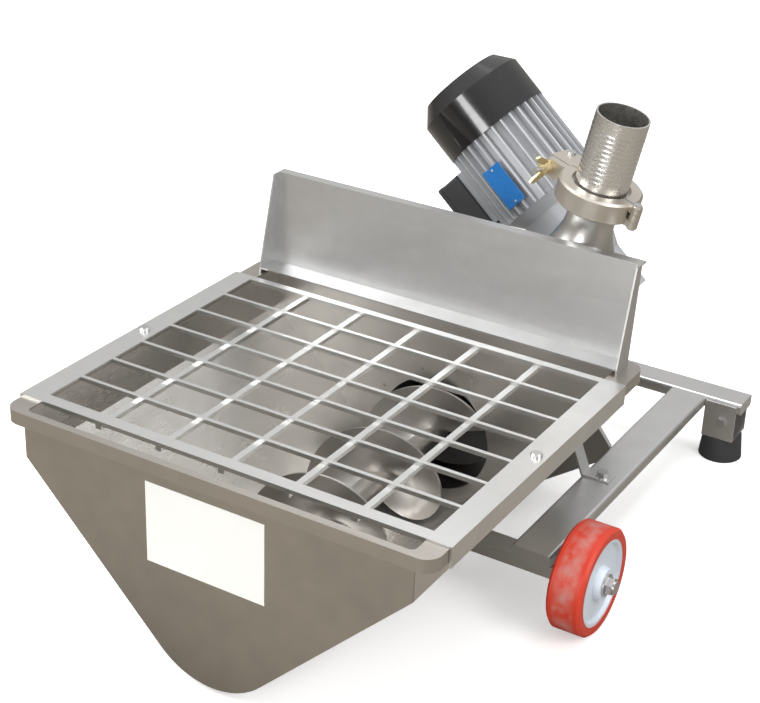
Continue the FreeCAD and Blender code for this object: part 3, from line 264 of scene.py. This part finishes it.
FINISHES = {
    "hopper_steel": brushed("hopper_steel", (0.46, 0.43, 0.39), 0.30, ALONG_Y, dirt=0.16),
    "rim_steel": brushed("rim_steel", (0.50, 0.47, 0.43), 0.28, ALONG_X),
    "grate_steel": brushed("grate_steel", (0.70, 0.70, 0.69), 0.28, ALONG_X),
    "panel_steel": brushed("panel_steel", (0.60, 0.60, 0.60), 0.34, ALONG_X),
    "auger_steel": brushed("auger_steel", (0.50, 0.48, 0.46), 0.30),
    "casing_steel": brushed("casing_steel", (0.58, 0.57, 0.55), 0.28),
    "outlet_steel": brushed("outlet_steel", (0.74, 0.73, 0.71), 0.24),
    "clamp_steel": brushed("clamp_steel", (0.60, 0.56, 0.50), 0.34, grain=0.16, bump=0.16),
    "frame_steel": brushed("frame_steel", (0.66, 0.66, 0.66), 0.30, ALONG_Y),
    "fastener_steel": brushed("fastener_steel", (0.60, 0.60, 0.60), 0.26),
    "nut_brass": brushed("nut_brass", (0.72, 0.60, 0.36), 0.36, grain=0.16),
    "rotor_rubber": painted("rotor_rubber", (0.03, 0.03, 0.03), 0.55),
    "seal_rubber": painted("seal_rubber", (0.03, 0.03, 0.03), 0.55),
    "gasket_rubber": painted("gasket_rubber", (0.75, 0.75, 0.73), 0.50),
    "foot_rubber": painted("foot_rubber", (0.045, 0.045, 0.05), 0.60, speckle=0.2),
    "gear_case_paint": painted("gear_case_paint", (0.34, 0.35, 0.36), 0.38, bump=0.18),
    "motor_paint": painted("motor_paint", (0.40, 0.41, 0.43), 0.36, bump=0.18),
    "fan_cover_plastic": painted("fan_cover_plastic", (0.006, 0.006, 0.007), 0.16, coat=0.4,
                                 bump=0.03),
    "fan_plastic": painted("fan_plastic", (0.02, 0.02, 0.02), 0.5),
    "terminal_plastic": painted("terminal_plastic", (0.06, 0.06, 0.065), 0.42),
    "gland_plastic": painted("gland_plastic", (0.01, 0.01, 0.01), 0.40),
    "wheel_nylon": painted("wheel_nylon", (0.66, 0.72, 0.80), 0.34, speckle=0.05),
}
# Painted light: the trough and rear plate are the same steel as hopper_steel, given a lighter colour that stands
# in for the light falling inside the hopper
INNER_FACES_PAINTED_LIGHTER = brushed("hopper_inner_painted_light", (0.72, 0.70, 0.67), 0.26, ALONG_Y, dirt=0.10)
TYRES = {
    side: tyre_material("tyre_red_" + side, (0.62, 0.045, 0.02), (0.50, 0.36, 0.33), side)
    for side in ("left", "right")
}


def dress_frame():
    for part in frame["record"]["subparts"]:
        name = part["node"]
        finish = FINISHES.get(part["material_slot"])
        # The trough and rear plate take the lighter copy of the hopper steel, which is painted light
        if name in ("hopper_trough", "hopper_rear_plate"):
            finish = INNER_FACES_PAINTED_LIGHTER
        if name.startswith("wheel_tyre_"):
            finish = TYRES[name.rsplit("_", 1)[1]]
        for holder in frame["nodes"][name].material_slots:
            holder.material = finish


def new_object(name, mesh, finish):
    made = bpy.data.objects.new(name, mesh)
    bpy.context.scene.collection.objects.link(made)
    mesh.materials.append(finish)
    return made


def block(name, size, finish, bevel):
    """Block centred on its own origin, with softened edges."""
    half = [length / 2 for length in size]
    corners = [(x, y, z) for x in (-half[0], half[0]) for y in (-half[1], half[1])
               for z in (-half[2], half[2])]
    faces = [(0, 1, 3, 2), (4, 6, 7, 5), (0, 4, 5, 1), (2, 3, 7, 6), (0, 2, 6, 4), (1, 5, 7, 3)]
    mesh = bpy.data.meshes.new(name)
    mesh.from_pydata(corners, [], faces)
    made = new_object(name, mesh, finish)
    softened = made.modifiers.new("softened_edges", "BEVEL")
    softened.width = bevel
    softened.segments = 2
    return made


def add_label():
    """Plain white label on the front plate, with nothing on it."""
    left, right, bottom, top = LABEL_EDGES
    finish = painted("label_white", (0.80, 0.80, 0.78), 0.35, speckle=0.03, bump=0.02)
    size = (right - left, LABEL_THICKNESS, top - bottom)
    label = block("front_label", size, finish, LABEL_THICKNESS / 3)
    face_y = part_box("hopper_front_plate")[0].y
    label.location = ((left + right) / 2, face_y - LABEL_THICKNESS / 2, (bottom + top) / 2)
    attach(label, "frame")


def motor_line():
    """A point on the motor's axis, at the joint of its shaft, and the way to the fan."""
    for joint in frame["joints"]:
        if joint["name"] == "motor_spin":
            return Vector(joint["pos_m"]), Vector(joint["axis"]).normalized()


def add_rating_plate():
    """Plain blue plate across the motor's fins, with a rivet at each end."""
    point, up_motor = motor_line()
    outward = Vector((0.0, -1.0, 0.0))
    across = up_motor.cross(outward)
    centre = point + up_motor * PLATE_ALONG + outward * (FIN_RADIUS + PLATE_THICKNESS / 2)
    turn = Matrix((up_motor, across, outward)).transposed().to_4x4()
    finish = painted("plate_blue", (0.02, 0.16, 0.46), 0.28, speckle=0.05, bump=0.02)
    size = (PLATE_LENGTH, PLATE_WIDTH, PLATE_THICKNESS)
    plate = block("rating_plate", size, finish, PLATE_THICKNESS / 3)
    plate.matrix_world = Matrix.Translation(centre) @ turn
    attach(plate, "frame")
    for end in (-1, 1):
        rivet = block("rating_plate_rivet", RIVET_SIZE, FINISHES["fastener_steel"], RIVET_EDGE)
        reach = end * (PLATE_LENGTH / 2 - RIVET_FROM_END)
        shift = up_motor * reach + outward * PLATE_THICKNESS
        rivet.matrix_world = Matrix.Translation(centre + shift) @ turn
        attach(rivet, "frame")


def bead(name, points, finish):
    """Round weld bead along a line of points."""
    curve = bpy.data.curves.new(name, "CURVE")
    curve.dimensions = "3D"
    curve.bevel_depth = WELD_RADIUS
    curve.bevel_resolution = 2
    line = curve.splines.new("POLY")
    line.points.add(len(points) - 1)
    for knot, point in zip(line.points, points):
        knot.co = (*point, 1.0)
    made = bpy.data.objects.new(name, curve)
    bpy.context.scene.collection.objects.link(made)
    curve.materials.append(finish)
    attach(made, "frame")


def add_welds():
    """Beads where each side rail lies on its cross bar, front and rear."""
    finish = brushed("weld_bead", (0.42, 0.39, 0.36), 0.42, grain=0.2, bump=0.3)
    for side in ("left", "right"):
        low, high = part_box("cross_bar_" + side)
        rail_low, rail_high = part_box("side_rail_" + side)
        inner_x = max(low.x, rail_low.x)
        outer_x = min(high.x, rail_high.x)
        for place, y in (("front", low.y), ("rear", high.y)):
            points = [(inner_x, y, high.z), (outer_x, y, high.z)]
            bead("cross_bar_weld_%s_%s" % (side, place), points, finish)


def add_floor():
    """Plain floor: white to the camera, with a faint shadow, and dim in the steel's sheen."""
    made, graph = material("floor_white")
    seen = graph.node("LightPath", output="Is Camera Ray")
    lit = graph.node("BsdfDiffuse", {"Color": FLOOR_PAINT})
    glow = graph.node("Emission", {"Color": WHITE, "Strength": FLOOR_GLOW})
    shown = graph.node("AddShader", {0: lit, 1: glow})
    mirrored = graph.node("BsdfDiffuse", {"Color": FLOOR_IN_STEEL})
    graph.end("OutputMaterial", graph.node("MixShader", {0: seen, 1: mirrored, 2: shown}))
    mesh = bpy.data.meshes.new("floor")
    half = FLOOR_SIZE / 2
    mesh.from_pydata([(-half, -half, 0), (half, -half, 0), (half, half, 0), (-half, half, 0)],
                     [], [(0, 1, 2, 3)])
    new_object("floor", mesh, made)


def add_world():
    """White to the camera; to the steel, a studio that is bright above and dim at its walls."""
    world = bpy.data.worlds.new("studio")
    bpy.context.scene.world = world
    world.use_nodes = True
    graph = Graph(world.node_tree)
    place = graph.node("TexCoord", output="Generated")
    height = graph.node("SeparateXYZ", {"Vector": place}, output="Z")
    level = graph.steps(height, *ROOM_LEVELS)
    tint = graph.blend(level, ROOM_WALL, ROOM_CEILING)
    room = graph.node("Background", {"Color": tint, "Strength": ROOM_STRENGTH})
    plain = graph.node("Background", {"Color": WHITE, "Strength": 1.0})
    seen = graph.node("LightPath", output="Is Camera Ray")
    graph.end("OutputWorld", graph.node("MixShader", {0: seen, 1: room, 2: plain}))


def add_light(name, place, target, size, power):
    lamp = bpy.data.lights.new(name, "AREA")
    lamp.shape = "RECTANGLE"
    lamp.size, lamp.size_y = size
    lamp.energy = power
    made = bpy.data.objects.new(name, lamp)
    bpy.context.scene.collection.objects.link(made)
    made.location = place
    away = Vector(place) - Vector(target)
    made.rotation_euler = away.to_track_quat("Z", "Y").to_euler()


def add_camera():
    data = bpy.data.cameras.new("camera")
    data.lens = CAMERA_LENS
    data.sensor_width = CAMERA_SENSOR
    made = bpy.data.objects.new("camera", data)
    bpy.context.scene.collection.objects.link(made)
    forward = CAMERA_FORWARD.normalized()
    right = (CAMERA_RIGHT - forward * CAMERA_RIGHT.dot(forward)).normalized()
    up = right.cross(forward)
    turn = Matrix((right, up, -forward)).transposed().to_4x4()
    made.matrix_world = Matrix.Translation(CAMERA_PLACE) @ turn
    bpy.context.scene.camera = made


dress_frame()
add_label()
add_rating_plate()
add_welds()
add_floor()
add_world()
for lamp_name, (lamp_place, lamp_target, lamp_size, lamp_power) in SOFTBOXES.items():
    add_light(lamp_name, lamp_place, lamp_target, lamp_size, lamp_power)
add_camera()
bpy.context.scene.view_settings.view_transform = "Standard"
